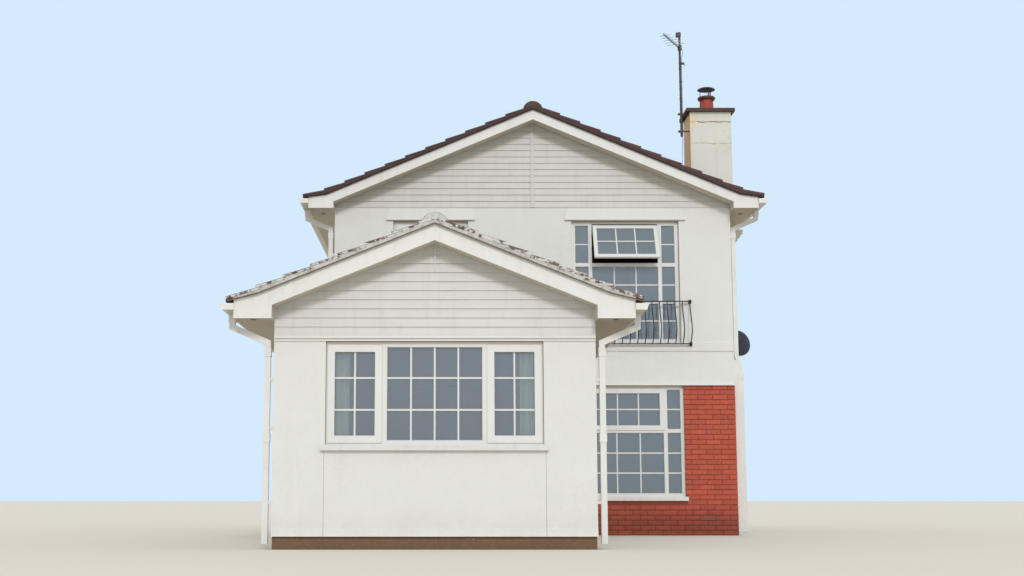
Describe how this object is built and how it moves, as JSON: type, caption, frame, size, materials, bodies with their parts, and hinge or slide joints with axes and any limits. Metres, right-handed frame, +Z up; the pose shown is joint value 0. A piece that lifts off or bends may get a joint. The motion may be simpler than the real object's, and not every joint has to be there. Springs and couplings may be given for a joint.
{
  "type": "detached house",
  "caption": "Two-storey gable-fronted house with a single-storey gabled extension, chimney, railing and rainwater goods.",
  "frame": {"origin": "middle of the main block's plan, on the underside of its floor slab, at ground level", "axes": "+X to the right as seen from the street, +Y from the front to the back, +Z up"},
  "size_m": [7.296, 14.514, 8.3],
  "materials": {
    "concrete": "floated concrete",
    "floor_timber": "boards and plaster as one plate",
    "painted_brick": "old red masonry paint over brick",
    "front_render": "fine roughcast render, off-white",
    "side_render": "fine roughcast render, off-white",
    "gable_boarding": "lapped boards, cream white",
    "main_tiles": "brown concrete tiles, matt",
    "extension_tiles": "brown concrete tiles with lichen",
    "ridge_tiles": "half-round concrete ridge tiles in mortar",
    "white_board": "white boards, satin",
    "rainwater_plastic": "white gutter plastic, weathered",
    "chimney_render": "cracked cream render with rust stains",
    "cap_concrete": "brown stained slab",
    "terracotta": "fired clay, sooty rim",
    "dark_metal": "sooted metal",
    "weathered_metal": "dull weathered alloy",
    "dish_metal": "dark grey paint",
    "plinth_brick": "brown plinth paint",
    "white_frame": "white window plastic",
    "window_glass": "clear sealed glass",
    "sill_paint": "painted sill",
    "black_iron": "black paint over iron",
    "door_white": "white panelled door"
  },
  "bodies": {
    "root": {"main_floor_slab": "concrete", "extension_floor_slab": "concrete", "first_floor": "floor_timber", "front_wall_lower": "painted_brick", "front_wall_upper": "front_render", "rear_wall": "side_render", "left_wall": "side_render", "right_wall": "side_render", "front_gable": "gable_boarding", "rear_gable": "gable_boarding", "main_roof_left": "main_tiles", "main_roof_right": "main_tiles", "main_ridge": "ridge_tiles", "main_bargeboards": "white_board", "main_eaves": "white_board", "gutters": "rainwater_plastic", "downpipes": "rainwater_plastic", "chimney_stack": "chimney_render", "chimney_cap": "cap_concrete", "chimney_pot": "terracotta", "chimney_cowl": "dark_metal", "television_aerial": "weathered_metal", "satellite_dish": "dish_metal", "extension_plinth": "plinth_brick", "extension_front_wall": "front_render", "extension_left_wall": "side_render", "extension_right_wall": "side_render", "extension_gable": "gable_boarding", "extension_roof_left": "extension_tiles", "extension_roof_right": "extension_tiles", "extension_ridge": "ridge_tiles", "extension_bargeboards": "white_board", "extension_eaves": "white_board", "extension_window_frame": "white_frame", "lower_window_frame": "white_frame", "upper_window_frames": "white_frame", "upper_window_vent": "white_frame", "extension_glass": "window_glass", "main_front_glass": "window_glass", "rear_windows": "white_frame", "rear_glass": "window_glass", "window_sills": "sill_paint", "window_head_mouldings": "front_render", "balcony_railing": "black_iron", "entrance_door": "door_white"}
  },
  "joints": []
}
